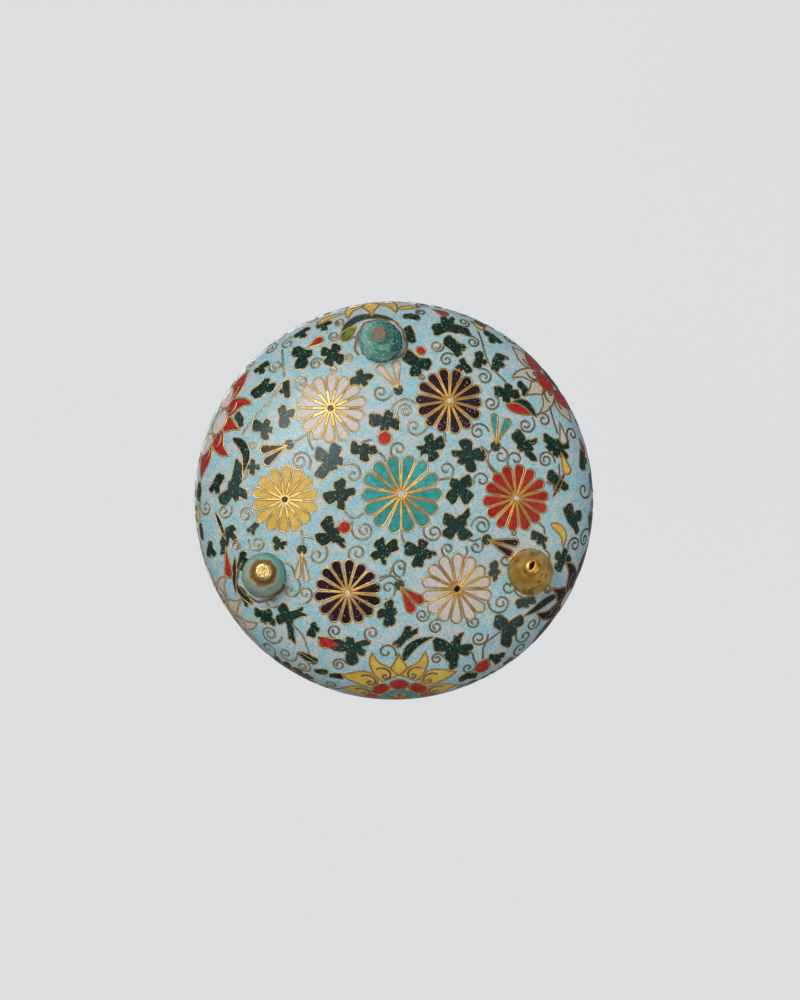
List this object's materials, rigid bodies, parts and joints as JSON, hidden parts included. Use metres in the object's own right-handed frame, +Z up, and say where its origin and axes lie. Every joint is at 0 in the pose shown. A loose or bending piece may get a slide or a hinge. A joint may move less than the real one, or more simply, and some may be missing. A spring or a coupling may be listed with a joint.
{
  "type": "incense burner",
  "caption": "Hollow round bowl with a compressed belly, a short waisted neck and a flared lip, standing on small cast nipple feet, covered in floral cloisonne enamel.",
  "frame": {"origin": "on the bowl's axis, in the plane that the three foot tips stand on", "axes": "+Z up along the bowl's axis to the mouth; -Y to the front foot, near enough; +X to the right seen from the front"},
  "size_m": [0.13, 0.13, 0.0686],
  "materials": {
    "enamel": "polished light blue cloisonne enamel with gilt wires and coloured flowers, on copper",
    "gilt_foot": "rubbed mercury gilding on cast bronze",
    "worn_foot": "pale green patina with a gilt worn tip",
    "verdigris_foot": "thick blue-green corrosion with a bare brown tip"
  },
  "bodies": {
    "root": {"vessel": "enamel", "foot_gilt": "gilt_foot", "foot_worn": "worn_foot", "foot_verdigris": "verdigris_foot"}
  },
  "joints": []
}
